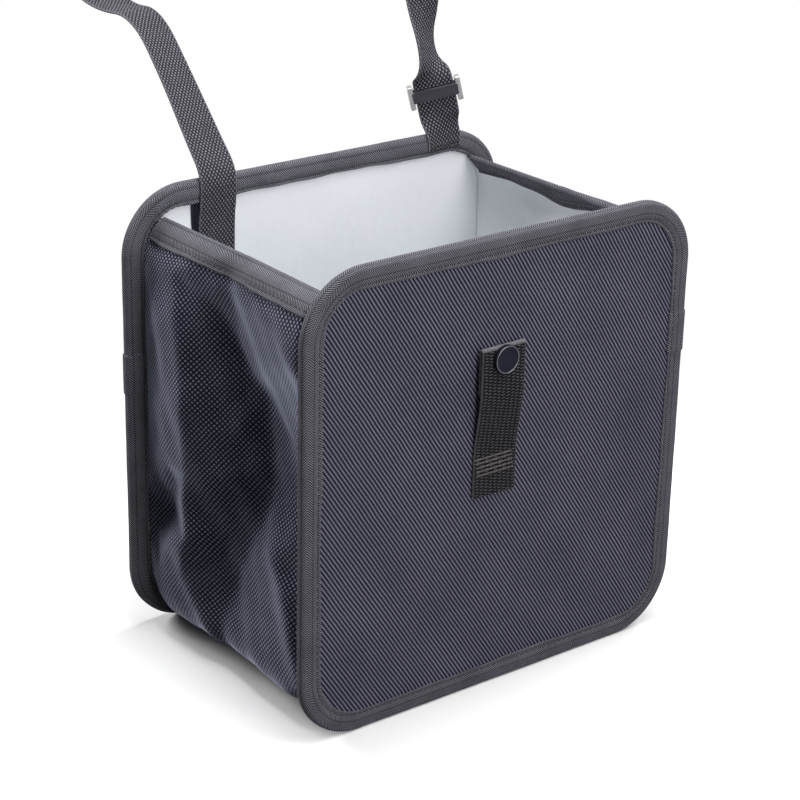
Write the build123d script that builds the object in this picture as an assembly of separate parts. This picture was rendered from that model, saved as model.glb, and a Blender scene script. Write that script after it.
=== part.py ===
"""Foldable hanging bin for a car: two stiffened fabric panels joined by a soft folding gusset.

Frame: +X to the right of someone facing the front panel, +Y from the front to the back, +Z up.
The origin is on the ground, under the middle of the bin's box. Lengths are in millimetres.
"""

import os
from math import asin, cos, radians, sin

from build123d import *

# Overall size, over the bindings
width = 220
height = 220
depth = 145
corner_radius = 32

# Sewn layers
tape = 0.8
panel_fabric = 0.7
board = 1.8
lining = 0.3
gusset_fabric = 0.7
seat_gap = 0.15

# Binding tape folded round the edges
binding_cover = 10
binding_round = 1.6
lap_length = 20
lap_step = 0.5
front_lap_height = 142
back_lap_height = 122
rim_cover = 11

# Gusset: where it ends on the panels' top corners, and how deep its sides fold in
rim_angle = 54
rim_margin = 1
fold_depth = 12.5
fold_start = 0.96
flange_reach = 0.8

# Fold lines down each side of the gusset: a share of the panels' height, a place from -1 at the
# front panel to 1 at the back one, and a share of the fold's depth
front_fold = (
    (0.90, -0.52, -0.10),
    (0.82, -0.52, 0.10),
    (0.73, -0.52, 0.40),
    (0.66, -0.52, 0.68),
    (0.60, -0.52, 0.95),
    (0.50, -0.53, 0.98),
    (0.42, -0.52, 0.90),
    (0.35, -0.50, 0.42),
    (0.28, -0.55, 0.14),
    (0.20, -0.60, 0.02),
    (0.00, -0.60, 0.00),
)
middle_fold = (
    (0.90, 0.05, -0.07),
    (0.85, 0.12, 0.20),
    (0.80, 0.14, 0.48),
    (0.74, 0.02, 0.73),
    (0.68, -0.10, 0.90),
    (0.55, -0.04, 0.92),
    (0.46, 0.06, 0.84),
    (0.36, -0.12, 0.76),
    (0.23, 0.02, 0.60),
    (0.14, 0.13, 0.44),
    (0.04, 0.15, 0.20),
    (0.00, 0.10, 0.00),
)
back_fold = (
    (0.90, 0.66, -0.04),
    (0.81, 0.66, -0.20),
    (0.69, 0.64, -0.36),
    (0.53, 0.65, -0.40),
    (0.39, 0.68, -0.32),
    (0.30, 0.58, -0.18),
    (0.22, 0.52, -0.12),
    (0.16, 0.56, 0.05),
    (0.00, 0.60, 0.00),
)

# Webbing of the strap and the tab
webbing = 1.2
strap_width = 20
strap_left_x = -60
strap_right_x = 74
strap_inside = 62
strand_foot = -3
strand_lean_x = -0.249
strand_lean_y = 0.049
strand_turn = -30

# Slider on the strap's right strand
slider_rise = 21.5
slider_height = 12
slider_cheek = 2.6
slider_bar = 1.4
slider_front_bar_height = 6
slider_rail_height = 2
slider_rail_offset = 3
slider_clearance = 0.3
slider_side_clearance = 0.6
slider_round = 0.5

# Front tab, with its foot sewn to the panel and its top end folded double
tab_width = 25
tab_x = -4.6
tab_bottom = 97.5
tab_foot = 20.5
tab_ramp = 30
tab_end = 6.2
tab_fold = 20
tab_bend = 24

# Snap fastener
snap_height = 164.3
cap_radius = 6.6
cap_rise = 2.6
cap_edge = 1.3
cap_post_radius = 1.5
socket_radius = 5.3
socket_height = 1.7
socket_floor = 0.5
stud_radius = 4.5
stud_flange = 0.5
stud_head_radius = 2
stud_head_rise = 1
snap_clearance = 0.25
rivet_radius = 4.5
rivet_thickness = 0.4
rivet_post_radius = 1.2

# Derived places
panel_stack = panel_fabric + board + lining
flange_stack = lining + gusset_fabric
edge_thickness = 2 * tape + panel_stack + flange_stack
tab_stand = stud_flange + seat_gap + socket_height
tab_layers = 2 * webbing + seat_gap
tab_top = snap_height + tab_end
snap_reach = tab_stand + tab_layers + cap_rise - tape
front_face = (snap_reach - depth) / 2
back_face = (snap_reach + depth) / 2
panel_face = front_face + tape
wall_inset = binding_cover + 2 * seat_gap
wall_radius = corner_radius - wall_inset
corner_x = width / 2 - corner_radius
top_corner_z = height - corner_radius
wall_layers = gusset_fabric + seat_gap + lining


def rounded_square(inset):
    """A panel's outline, drawn in from its edge by inset."""
    return RectangleRounded(width - 2 * inset, height - 2 * inset, corner_radius - inset)


def slab(outline, face, inward, near, far):
    """A sheet of that outline between two depths behind a binding's outer face."""
    first_y = min(face + inward * near, face + inward * far)
    place = Plane(origin=(0, first_y, height / 2), x_dir=(-1, 0, 0), z_dir=(0, 1, 0))
    return extrude(place * outline, amount=far - near)


def mouth_cut(angle):
    """The stretch of a panel's edge above the gusset's two ends, as a sketch to cut away."""
    x = corner_x
    z = top_corner_z - height / 2
    reach = 2 * corner_radius
    end_x = x + reach * cos(radians(angle))
    end_z = z + reach * sin(radians(angle))
    corners = [(x, z), (end_x, end_z), (0, z + 3 * reach), (-end_x, end_z), (-x, z)]
    return make_face(Polyline(*corners, close=True))


def panel_layer(face, inward, near, far):
    """One flat layer of a panel, inside its binding."""
    return slab(rounded_square(tape + seat_gap), face, inward, near, far)


def binding(face, inward, lap_x, lap_bottom):
    """Tape folded round a panel's edge, with its end lapped over its start on one upright side."""
    ring = slab(rounded_square(0), face, inward, 0, edge_thickness)
    rims = ring.edges().group_by(Axis.Y)
    ring = fillet(rims[0] + rims[-1], binding_round)
    sleeve = slab(rounded_square(-lap_step), face, inward, -lap_step, edge_thickness + lap_step)
    rims = sleeve.edges().group_by(Axis.Y)
    sleeve = fillet(rims[0] + rims[-1], binding_round)
    lap_place = Pos(lap_x, face + inward * edge_thickness / 2, lap_bottom + lap_length / 2)
    ring += sleeve & lap_place * Box(2 * corner_radius, 3 * edge_thickness, lap_length)
    window = rounded_square(binding_cover)
    ring -= slab(window, face, inward, -edge_thickness, 2 * edge_thickness)
    ring -= slab(rounded_square(tape), face, inward, tape, tape + panel_stack)
    flange_room = rounded_square(tape) - mouth_cut(rim_angle + rim_margin)
    ring -= slab(flange_room, face, inward, tape + panel_stack, tape + panel_stack + flange_stack)
    return ring


def fold_at(line, up):
    """Where a fold line lies at a height up the cloth: its place between the panels and its depth."""
    share = min(max(up / height, line[-1][0]), line[0][0])
    for upper, lower in zip(line, line[1:]):
        if share >= lower[0]:
            rise = (share - lower[0]) / (upper[0] - lower[0])
            place = lower[1] + (upper[1] - lower[1]) * rise
            sag = lower[2] + (upper[2] - lower[2]) * rise
            return place, fold_depth * sag


def left_stations():
    """Places from the left rim down the gusset's side to the middle of the bottom.

    Each is a point on the wall's outer face, as x and z, the direction into the bin there, and the
    height up the cloth as if its bends were flat.
    """
    stations = []
    rim_sweep = rim_cover / wall_radius
    rim_bottom = radians(rim_angle) - rim_sweep
    rim_angles = [radians(rim_angle) - rim_sweep * step / 4 for step in range(5)]
    for angle in rim_angles + [rim_bottom / 2]:
        x = -corner_x - wall_radius * cos(angle)
        z = top_corner_z + wall_radius * sin(angle)
        stations.append((x, z, cos(angle), -sin(angle), top_corner_z + wall_radius * angle))
    for step in range(11):
        z = top_corner_z + (corner_radius - top_corner_z) * step / 10
        stations.append((-corner_x - wall_radius, z, 1, 0, z))
    for step in range(1, 7):
        angle = radians(90) * step / 6
        x = -corner_x - wall_radius * cos(angle)
        z = corner_radius - wall_radius * sin(angle)
        stations.append((x, z, cos(angle), sin(angle), corner_radius - wall_radius * angle))
    stations.append((-corner_x / 2, wall_inset, 0, 1, 0))
    return stations


def whole_stations():
    """The stations of the whole gusset, from the left rim under the bin to the right rim."""
    left = left_stations()
    right = [(-x, z, -inward_x, inward_z, up) for x, z, inward_x, inward_z, up in reversed(left)]
    return left + [(0, wall_inset, 0, 1, 0)] + right


def wall_section(station, near, far, first_y, last_y):
    """The gusset's section at one station, as deep as near to far inside its outer face."""
    x, z, inward_x, inward_z, up = station
    folds = [fold_at(line, up) for line in (front_fold, middle_fold, back_fold)]
    profile = [(-1, 0), *folds, (fold_start, 0), (1, 0)]
    middle_y = (first_y + last_y) / 2
    half = (last_y - first_y) / 2

    def line_at(offset):
        reach = [(middle_y + share * half, offset + sag) for share, sag in profile]
        return [(x + inward_x * deep, y, z + inward_z * deep) for y, deep in reach]

    outer = line_at(near)
    inner = line_at(far)
    sides = [
        Spline(*outer),
        Line(outer[-1], inner[-1]),
        Spline(*reversed(inner)),
        Line(inner[0], outer[0]),
    ]
    return make_face(sides)


def wall(stations, near, far, first_depth):
    """A skin that follows the gusset from panel to panel, starting that deep behind their faces."""
    first_y = front_face + first_depth
    last_y = back_face - first_depth
    return loft([wall_section(s, near, far, first_y, last_y) for s in stations], ruled=True)


def gusset_layer(near, thickness, first_depth):
    """One layer of the gusset: its folded wall and the flanges sewn to the two panels."""
    layer = wall(whole_stations(), near, near + thickness, first_depth)
    flange = rounded_square(tape + seat_gap)
    flange -= rounded_square(wall_inset + near + flange_reach * thickness)
    flange -= mouth_cut(rim_angle)
    for face, inward in ((front_face, 1), (back_face, -1)):
        layer += slab(flange, face, inward, first_depth, first_depth + thickness)
    return layer


def left_rim_binding():
    """Tape folded over the top edge of the gusset's left side."""
    rim = left_stations()[:5]
    x, z, inward_x, inward_z, up = rim[0]
    up_x = -inward_z
    up_z = inward_x
    over = (x + up_x * (tape + seat_gap), z + up_z * (tape + seat_gap), inward_x, inward_z, up)
    lip = (x + up_x * seat_gap, z + up_z * seat_gap, inward_x, inward_z, up)
    below = left_stations()[5]
    first_depth = tape + panel_stack
    near = -seat_gap
    far = wall_layers + seat_gap
    skin = wall([over] + rim, near - tape, far + tape, first_depth)
    pocket = wall([lip] + rim + [below], near, far, first_depth)
    clear = edge_thickness + 2 * seat_gap
    span = back_face - front_face - 2 * clear
    between = Pos(0, (front_face + back_face) / 2, height / 2) * Box(2 * width, span, 2 * height)
    return (skin - pocket) & between


def flat_way(turn):
    """The direction across the strap where it is turned that far about the vertical."""
    return (cos(radians(turn)), sin(radians(turn)), 0)


def strand_point(rise):
    """A point of the straight right strand, that high above the panels."""
    along = rise - strand_foot
    on_tape = -(edge_thickness + seat_gap + webbing / 2)
    return (strap_right_x + strand_lean_x * along, on_tape + strand_lean_y * along, rise)


def strap_route():
    """The strap's control points, from its left root to its right, with the direction across it.

    Heights are from the top of the panels, and the middle number is measured back from the
    back binding's outer face, so that the two roots stay on the panel.
    """
    on_lining = -(tape + panel_stack + seat_gap + webbing / 2)
    on_tape = -(edge_thickness + seat_gap + webbing / 2)
    x = strap_left_x
    hanging = (0, 0, -1)
    left = [
        (x, on_lining, -strap_inside, flat_way(180)),
        (x, on_lining, -21, flat_way(180)),
        (x, on_tape, -12.5, flat_way(180)),
        (x, on_tape - 0.7, 2.5, flat_way(180)),
        (x, 5, 14.5, flat_way(184)),
        (x, 27, 39, flat_way(194)),
        (x, 54, 65.5, flat_way(196)),
        (x, 84, 62, flat_way(188)),
    ]
    behind = [
        (-58, 112, 70, (-0.9, 0, -0.45)),
        (-42, 138, 83, (-0.4, -0.2, -0.9)),
        (-12, 150, 90, hanging),
        (22, 146, 95, hanging),
        (45, 124, 99, (0.2, 0, -1)),
        (52, 92, 102, (0.7, 0, -0.7)),
        (52, 58, 105, flat_way(0)),
        (52, 28, 108, flat_way(0)),
        (53.5, 3, 102, flat_way(-10)),
        (59.5, -2.5, 80, flat_way(-14)),
        (61, -2.8, 64, flat_way(6)),
        (62, -3.5, 49, flat_way(33)),
        (64.2, -4.4, 35.5, flat_way(28)),
    ]
    strand = [(*strand_point(rise), flat_way(strand_turn)) for rise in (29, 22, 16.5, 10)]
    strand += [(*strand_point(rise), flat_way(0)) for rise in (4, strand_foot)]
    root = [(strap_right_x, on_tape, -7.5, flat_way(0))]
    return left + behind + strand + root


def strap_frames(samples):
    """Points along the smooth line that the route controls, each with its two directions."""
    route = strap_route()
    points = [Vector(x, back_face + y, height + z) for x, y, z, _ in route]
    sides = [Vector(*side) for _, _, _, side in route]
    frames = []
    for i in range(1, len(points) - 1):
        first = points[0] if i == 1 else (points[i - 1] + points[i]) / 2
        last = points[-1] if i == len(points) - 2 else (points[i] + points[i + 1]) / 2
        first_side = (sides[i - 1] + sides[i]) / 2
        last_side = (sides[i] + sides[i + 1]) / 2
        shares = [k / samples for k in range(samples)]
        if i == len(points) - 2:
            shares.append(1)
        for t in shares:
            place = first * (1 - t) ** 2 + points[i] * 2 * t * (1 - t) + last * t**2
            ahead = ((points[i] - first) * (1 - t) + (last - points[i]) * t).normalized()
            side = first_side * (1 - t) ** 2 + sides[i] * 2 * t * (1 - t) + last_side * t**2
            side = (side - ahead * side.dot(ahead)).normalized()
            frames.append((place, ahead, side))
    return frames


def hanging_strap():
    """Webbing loop that hangs the bin, with the twists of a flat strap."""
    sections = []
    for place, ahead, side in strap_frames(3):
        sections.append(Plane(origin=place, x_dir=side, z_dir=ahead) * Rectangle(strap_width, webbing))
    return loft(sections, ruled=True)


def strap_slider():
    """Metal slider: two cheeks, a bar in front of the strap and two rails behind it."""
    x, y, rise = strand_point(slider_rise)
    ahead = Vector(strand_lean_x, strand_lean_y, 1).normalized()
    side = Vector(*flat_way(strand_turn))
    side = (side - ahead * side.dot(ahead)).normalized()
    place = Plane(origin=(x, back_face + y, height + rise), x_dir=side, z_dir=side.cross(ahead))
    bar_at = webbing / 2 + slider_clearance + slider_bar / 2
    slider_depth = webbing + 2 * slider_clearance + 2 * slider_bar
    cheek_at = strap_width / 2 + slider_side_clearance + slider_cheek / 2
    cheek = Box(slider_cheek, slider_height, slider_depth)
    cheek = fillet(cheek.edges(), slider_round)
    slider = Pos(cheek_at, 0, 0) * cheek + Pos(-cheek_at, 0, 0) * cheek
    slider += Pos(0, 0, bar_at) * Box(2 * cheek_at, slider_front_bar_height, slider_bar)
    for rail_y in (-slider_rail_offset, slider_rail_offset):
        slider += Pos(0, rail_y, -bar_at) * Box(2 * cheek_at, slider_rail_height, slider_bar)
    return place * slider


def snap_turned(profile):
    """A piece of the snap, turned from its radius and its stand off the front panel."""
    axis = Axis((tab_x, panel_face, snap_height), (0, -1, 0))
    place = Plane(origin=axis.position, x_dir=(1, 0, 0), z_dir=(0, 0, 1))
    outline = Polyline(*[(radius, -stand) for radius, stand in profile], close=True)
    return revolve(place * make_face(outline), axis)


def front_tab():
    """Webbing tab: a sewn foot, a ramp out to the snap, and the top end folded back behind."""
    lies = webbing / 2 + seat_gap / 2
    stands = tab_stand + tab_layers - webbing / 2
    ramp_bottom = tab_bottom + tab_foot
    fold_radius = tab_layers / 2
    fold_at_z = tab_top - fold_radius
    route = [(lies, tab_bottom), (lies, ramp_bottom), (stands, ramp_bottom + tab_ramp), (stands, fold_at_z)]
    points = [(tab_x, panel_face - stand, z) for stand, z in route]
    path = FilletPolyline(*points, radius=tab_bend)
    start = Plane(origin=points[0], x_dir=(1, 0, 0), z_dir=(0, 0, 1))
    tab = sweep(start * Rectangle(tab_width, webbing), path=path)
    fold_y = panel_face - tab_stand - fold_radius
    bend = Cylinder(fold_radius, tab_width, rotation=(0, 90, 0))
    upper_half = Pos(0, 0, fold_radius) * Box(2 * tab_width, 4 * fold_radius, 2 * fold_radius)
    tab += Pos(tab_x, fold_y, fold_at_z) * (bend & upper_half)
    back_y = panel_face - tab_stand - webbing / 2
    tab += Pos(tab_x, back_y, fold_at_z - tab_fold / 2) * Box(tab_width, webbing, tab_fold)
    hole = cap_post_radius + snap_clearance
    return tab - snap_turned([(0, 0), (hole, 0), (hole, 2 * snap_reach), (0, 2 * snap_reach)])


def snap_cap():
    """Domed cap on the tab's face, with the post that holds the socket behind the tab."""
    seat = tab_stand + tab_layers
    socket_back = tab_stand - socket_floor
    axis = Axis((tab_x, panel_face, snap_height), (0, -1, 0))
    place = Plane(origin=axis.position, x_dir=(1, 0, 0), z_dir=(0, 0, 1))
    low = (cap_radius, -seat - cap_edge)
    peak = (0, -seat - cap_rise)
    dome = cap_rise - cap_edge
    dome_radius = (cap_radius**2 + dome**2) / (2 * dome)
    half_turn = asin(cap_radius / dome_radius) / 2
    shoulder = (dome_radius * sin(half_turn), peak[1] + dome_radius * (1 - cos(half_turn)))
    outline = [
        Line((0, -socket_back), (cap_post_radius, -socket_back)),
        Line((cap_post_radius, -socket_back), (cap_post_radius, -seat)),
        Line((cap_post_radius, -seat), (cap_radius, -seat)),
        Line((cap_radius, -seat), low),
        ThreePointArc(low, shoulder, peak),
        Line(peak, (0, -socket_back)),
    ]
    return revolve(place * make_face(outline), axis)


def snap_socket():
    """Socket behind the tab, which presses over the stud."""
    open_end = stud_flange + seat_gap
    floor = tab_stand - socket_floor
    room = stud_head_radius + snap_clearance
    return snap_turned([
        (room, open_end),
        (socket_radius, open_end),
        (socket_radius, tab_stand),
        (cap_post_radius, tab_stand),
        (cap_post_radius, floor),
        (room, floor),
    ])


def snap_stud():
    """Stud on the front panel's face, with its shank through the fabric."""
    tip = stud_flange + stud_head_rise
    return snap_turned([
        (0, -panel_fabric),
        (rivet_post_radius, -panel_fabric),
        (rivet_post_radius, 0),
        (stud_radius, 0),
        (stud_radius, stud_flange),
        (stud_head_radius, stud_flange),
        (stud_head_radius, tip - snap_clearance),
        (stud_head_radius - snap_clearance, tip),
        (0, tip),
    ])


def snap_rivet():
    """Washer behind the fabric that the stud's shank is riveted to."""
    near = -panel_fabric
    far = -panel_fabric - rivet_thickness
    return snap_turned([(0, far), (rivet_radius, far), (rivet_radius, near), (0, near)])


def front_panel():
    """The front panel's outer fabric, board and lining, opened where the snap's stud is riveted."""
    fabric_end = tape + panel_fabric
    cloth = panel_layer(front_face, 1, tape, fabric_end)
    shank = rivet_post_radius
    through = -2 * panel_fabric
    cloth -= snap_turned([(0, stud_flange), (shank, stud_flange), (shank, through), (0, through)])
    stiffener = panel_layer(front_face, 1, fabric_end, fabric_end + board)
    recess = rivet_radius + snap_clearance
    deep = -panel_fabric - rivet_thickness
    stiffener -= snap_turned([(0, 0), (recess, 0), (recess, deep), (0, deep)])
    liner = panel_layer(front_face, 1, fabric_end + board, tape + panel_stack)
    return cloth, stiffener, liner


def back_panel():
    """The back panel's outer fabric, board and lining."""
    fabric_end = tape + panel_fabric
    cloth = panel_layer(back_face, -1, tape, fabric_end)
    stiffener = panel_layer(back_face, -1, fabric_end, fabric_end + board)
    liner = panel_layer(back_face, -1, fabric_end + board, tape + panel_stack)
    return cloth, stiffener, liner


front_cloth, front_stiffener, front_liner = front_panel()
back_cloth, back_stiffener, back_liner = back_panel()
flange_depth = tape + panel_stack
left_rim = left_rim_binding()

nodes = {
    "front_panel_fabric": front_cloth,
    "front_board": front_stiffener,
    "front_lining": front_liner,
    "front_binding": binding(front_face, 1, width / 2, front_lap_height),
    "back_panel_fabric": back_cloth,
    "back_board": back_stiffener,
    "back_lining": back_liner,
    "back_binding": binding(back_face, -1, -width / 2, back_lap_height),
    "gusset_fabric": gusset_layer(0, gusset_fabric, flange_depth + lining),
    "gusset_lining": gusset_layer(gusset_fabric + seat_gap, lining, flange_depth),
    "left_rim_binding": left_rim,
    "right_rim_binding": mirror(left_rim, about=Plane.YZ),
    "hanging_strap": hanging_strap(),
    "strap_slider": strap_slider(),
    "front_tab": front_tab(),
    "snap_cap": snap_cap(),
    "snap_socket": snap_socket(),
    "snap_stud": snap_stud(),
    "snap_rivet": snap_rivet(),
}

os.makedirs("parts", exist_ok=True)
for name, solid in nodes.items():
    export_step(solid, f"parts/{name}.step")
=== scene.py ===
"""Looks of a foldable hanging bin for a car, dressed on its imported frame.

Shapes are worked out in millimetres, in the frame of the part, and placed in metres.
"""

import math

import bmesh
import bpy
import numpy as np
from mathutils import Matrix, Vector, geometry


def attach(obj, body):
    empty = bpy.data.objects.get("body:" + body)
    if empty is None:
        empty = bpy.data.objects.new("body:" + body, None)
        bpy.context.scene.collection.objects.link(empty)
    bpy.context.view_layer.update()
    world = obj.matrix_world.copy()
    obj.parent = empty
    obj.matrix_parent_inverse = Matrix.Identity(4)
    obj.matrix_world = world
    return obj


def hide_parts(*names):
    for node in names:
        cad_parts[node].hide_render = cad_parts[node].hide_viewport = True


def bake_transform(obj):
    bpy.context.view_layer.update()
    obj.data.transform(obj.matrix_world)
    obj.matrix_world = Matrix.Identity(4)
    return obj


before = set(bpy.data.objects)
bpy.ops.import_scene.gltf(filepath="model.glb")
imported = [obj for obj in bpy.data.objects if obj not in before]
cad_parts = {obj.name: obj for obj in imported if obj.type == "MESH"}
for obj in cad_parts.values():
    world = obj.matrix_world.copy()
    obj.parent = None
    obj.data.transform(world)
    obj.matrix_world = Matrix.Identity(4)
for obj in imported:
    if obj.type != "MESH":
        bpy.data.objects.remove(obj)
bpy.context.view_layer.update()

MM = 0.001
SAME_PLACE = 0.002 * MM

# Sizes of the panels and of their layers
HALF_WIDTH = 110
HEIGHT = 220
CORNER = 32
FRONT_FACE = -69.15
BACK_FACE = 75.85
TAPE = 0.8
CLOTH = 0.7
FILM = 0.3
PANEL_STACK = 2.8
SEAT_GAP = 0.15
MIDDLE_Y = (FRONT_FACE + BACK_FACE) / 2
PANEL_FACE = FRONT_FACE + TAPE
BACK_PANEL_FACE = BACK_FACE - TAPE
FRONT_LINING = PANEL_FACE + PANEL_STACK
BACK_LINING = BACK_PANEL_FACE - PANEL_STACK
CORNER_X = HALF_WIDTH - CORNER
TOP_CORNER_Z = HEIGHT - CORNER
SIDE = 2 * CORNER_X
CORNER_BEND = CORNER * math.pi / 2
QUARTER = SIDE + CORNER_BEND
PERIMETER = 4 * QUARTER

# Sizes of the binding tape and its stitches
EDGE = 5.4
COVER = 10
SEAM_INSET = 8.2
LAP_LENGTH = 20
LAP_RISE = 0.5
STITCH_PITCH = 3.4
STITCH_LENGTH = 2.7
STITCH_RADIUS = 0.22

# Sizes of the gusset, whose wall runs from the left rim under the bin to the right rim
WALL_INSET = 10.3
WALL_RADIUS = CORNER - WALL_INSET
RIM_ANGLE = math.radians(54)
RIM_BEND = WALL_RADIUS * RIM_ANGLE
FOOT_BEND = WALL_RADIUS * math.pi / 2
WALL_LENGTH = 2 * (RIM_BEND + SIDE + FOOT_BEND) + SIDE
WALL_LAYERS = 1.15
FRONT_END = FRONT_LINING + FILM
BACK_END = BACK_LINING - FILM

# Sizes of the strap, the tab and the snap
WEBBING = 1.2
STRAP_WIDTH = 20
DARK_STRIP_WIDTH = 4.2
DARK_STRIP_THICKNESS = 0.7
TAB_X = -4.6
TAB_WIDTH = 25
TAB_FOLD_AT = 73.2
SNAP_Z = 164.3


# Small tools


def ripple(t, seed, waves):
    """A smooth wandering line: for each wave a length and a height, at phases drawn from the seed."""
    phases = np.random.default_rng(seed).uniform(0, math.tau, len(waves))
    total = np.zeros_like(np.asarray(t, float))
    for (length, size), phase in zip(waves, phases):
        total += size * np.sin(math.tau * np.asarray(t, float) / length + phase)
    return total


def bump_at(t, centre, spread):
    """A soft bump of height 1."""
    return np.exp(-(((t - centre) / spread) ** 2))


def smooth(low, high, t):
    """0 on the side of low and 1 on the side of high, with a smooth rise between."""
    share = np.clip((t - low) / (high - low), 0, 1)
    return share * share * (3 - 2 * share)


def run_along(points):
    """The distance along a line of points, at each of them."""
    steps = np.linalg.norm(np.diff(points, axis=0), axis=1)
    return np.concatenate([[0], np.cumsum(steps)])


def link(name, data):
    """A new object in the scene."""
    made = bpy.data.objects.new(name, data)
    bpy.context.scene.collection.objects.link(made)
    return made


def add_mesh(name, points, faces, material, body, uv=None):
    """A smooth mesh from points in millimetres, riding on a body, with each point's place on the cloth."""
    mesh = bpy.data.meshes.new(name)
    mesh.from_pydata((np.asarray(points) * MM).tolist(), [], faces)
    mesh.polygons.foreach_set("use_smooth", [True] * len(mesh.polygons))
    if uv is not None:
        corners = np.empty(len(mesh.loops), int)
        mesh.loops.foreach_get("vertex_index", corners)
        layer = mesh.uv_layers.new(name="cloth")
        layer.data.foreach_set("uv", np.asarray(uv)[corners].astype(np.float32).ravel())
    joined = bmesh.new()
    joined.from_mesh(mesh)
    bmesh.ops.remove_doubles(joined, verts=joined.verts, dist=SAME_PLACE)
    joined.to_mesh(mesh)
    joined.free()
    mesh.materials.append(material)
    mesh.update()
    piece = link(name, mesh)
    if body:
        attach(piece, body)
    return piece


def grid_faces(rows, columns, flip=False):
    """Quads of a grid whose points run row by row."""
    first = (np.arange(rows - 1)[:, None] * columns + np.arange(columns - 1)).ravel()
    quads = np.stack([first, first + 1, first + columns + 1, first + columns], 1)
    return (quads[:, ::-1] if flip else quads).tolist()


def add_grid(name, points, uv, material, body, flip=False):
    """A smooth mesh from an array of rows of points."""
    rows, columns = points.shape[:2]
    faces = grid_faces(rows, columns, flip)
    return add_mesh(name, points.reshape(-1, 3), faces, material, body, uv.reshape(-1, 2))


# Materials


class Nodes:
    """A tree of nodes, wired with short calls."""

    def __init__(self, tree):
        self.tree = tree

    def node(self, kind, **settings):
        made = self.tree.nodes.new(kind)
        for key, value in settings.items():
            setattr(made, key, value)
        return made

    def plug(self, socket, value):
        if isinstance(value, bpy.types.NodeSocket):
            self.tree.links.new(value, socket)
        else:
            socket.default_value = value

    def wired(self, node, *values):
        """A node's first output, with values or links on its first sockets."""
        for socket, value in zip(node.inputs, values):
            self.plug(socket, value)
        return node.outputs[0]

    def math(self, operation, *values):
        return self.wired(self.node("ShaderNodeMath", operation=operation), *values)

    def product(self, first, *others):
        for other in others:
            first = self.math("MULTIPLY", first, other)
        return first

    def shown(self):
        """1 on rays that see the studio straight, in a mirror or through glass, and 0 on the others."""
        rays = self.node("ShaderNodeLightPath")
        straight = self.math("MAXIMUM", rays.outputs["Is Camera Ray"], rays.outputs["Is Glossy Ray"])
        return self.math("MAXIMUM", straight, rays.outputs["Is Transmission Ray"])

    def show(self, share, first, last, output):
        """Sends a blend of two shaders to the output node of that name."""
        blend = self.wired(self.node("ShaderNodeMixShader"), share, first.outputs[0], last.outputs[0])
        self.plug(self.tree.nodes[output].inputs[0], blend)


class Shader(Nodes):
    """The nodes of a new material. Cloth coordinates are in millimetres."""

    def __init__(self, name):
        self.material = bpy.data.materials.new(name)
        self.material.use_nodes = True
        super().__init__(self.material.node_tree)
        self.surface = self.tree.nodes["Principled BSDF"]

    def cloth(self):
        """The two cloth coordinates."""
        place = self.node("ShaderNodeUVMap", uv_map="cloth")
        parts = self.node("ShaderNodeSeparateXYZ")
        return self.wired(parts, place.outputs[0]), parts.outputs[1]

    def across(self, u, v, angle, pitch):
        """How many threads lie between the origin and a place, counted across their direction."""
        scaled_u = self.product(u, math.cos(angle) / pitch)
        scaled_v = self.product(v, math.sin(angle) / pitch)
        return self.math("ADD", scaled_u, scaled_v)

    def wave(self, turns, shift):
        """0 to 1 and back for each whole turn, after a shift by a share of one."""
        swing = self.math("SINE", self.product(self.math("ADD", turns, shift), math.tau))
        return self.math("MULTIPLY_ADD", swing, 0.5, 0.5)

    def step(self, value, low, high):
        """0 on the side of low and 1 on the side of high, with a smooth rise between."""
        made = self.node("ShaderNodeMapRange", interpolation_type="SMOOTHSTEP")
        return self.wired(made, value, low, high, 0.0, 1.0)

    def between(self, share, first, last):
        """A number that goes from first to last."""
        return self.wired(self.node("ShaderNodeMapRange"), share, 0.0, 1.0, first, last)

    def noise(self, scale, detail=2.0, stretch=(1, 1, 1), uv=True):
        """Cloudy values: blotches for each millimetre of cloth or, without uv, for each metre of space."""
        source = self.node("ShaderNodeUVMap", uv_map="cloth") if uv else self.node("ShaderNodeTexCoord")
        place = self.node("ShaderNodeMapping")
        self.plug(place.inputs[0], source.outputs["UV" if uv else "Object"])
        place.inputs["Scale"].default_value = stretch
        made = self.node("ShaderNodeTexNoise")
        self.plug(made.inputs["Vector"], place.outputs[0])
        made.inputs["Scale"].default_value = scale
        made.inputs["Detail"].default_value = detail
        return made.outputs[0]

    def uneven(self, scale, detail, low, high):
        """A number that wanders between low and high over the cloth."""
        return self.between(self.noise(scale, detail), low, high)

    def mix(self, share, first, last):
        """A colour between two, each a colour or another node's."""
        made = self.node("ShaderNodeMix", data_type="RGBA")
        self.plug(made.inputs[0], share)
        for socket, colour in ((made.inputs[6], first), (made.inputs[7], last)):
            self.plug(socket, colour if isinstance(colour, bpy.types.NodeSocket) else (*colour, 1))
        return made.outputs[2]

    def bump(self, height, distance, strength):
        """Relief of the surface, for a height of 1 that many millimetres."""
        made = self.node("ShaderNodeBump")
        made.inputs["Strength"].default_value = strength
        made.inputs["Distance"].default_value = distance * MM
        self.plug(made.inputs["Height"], height)
        self.plug(self.surface.inputs["Normal"], made.outputs[0])

    def finish(self, colour, roughness, settings=None):
        self.plug(self.surface.inputs["Base Color"], colour)
        self.plug(self.surface.inputs["Roughness"], roughness)
        for key, value in (settings or {}).items():
            self.surface.inputs[key].default_value = value
        return self.material


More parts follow.
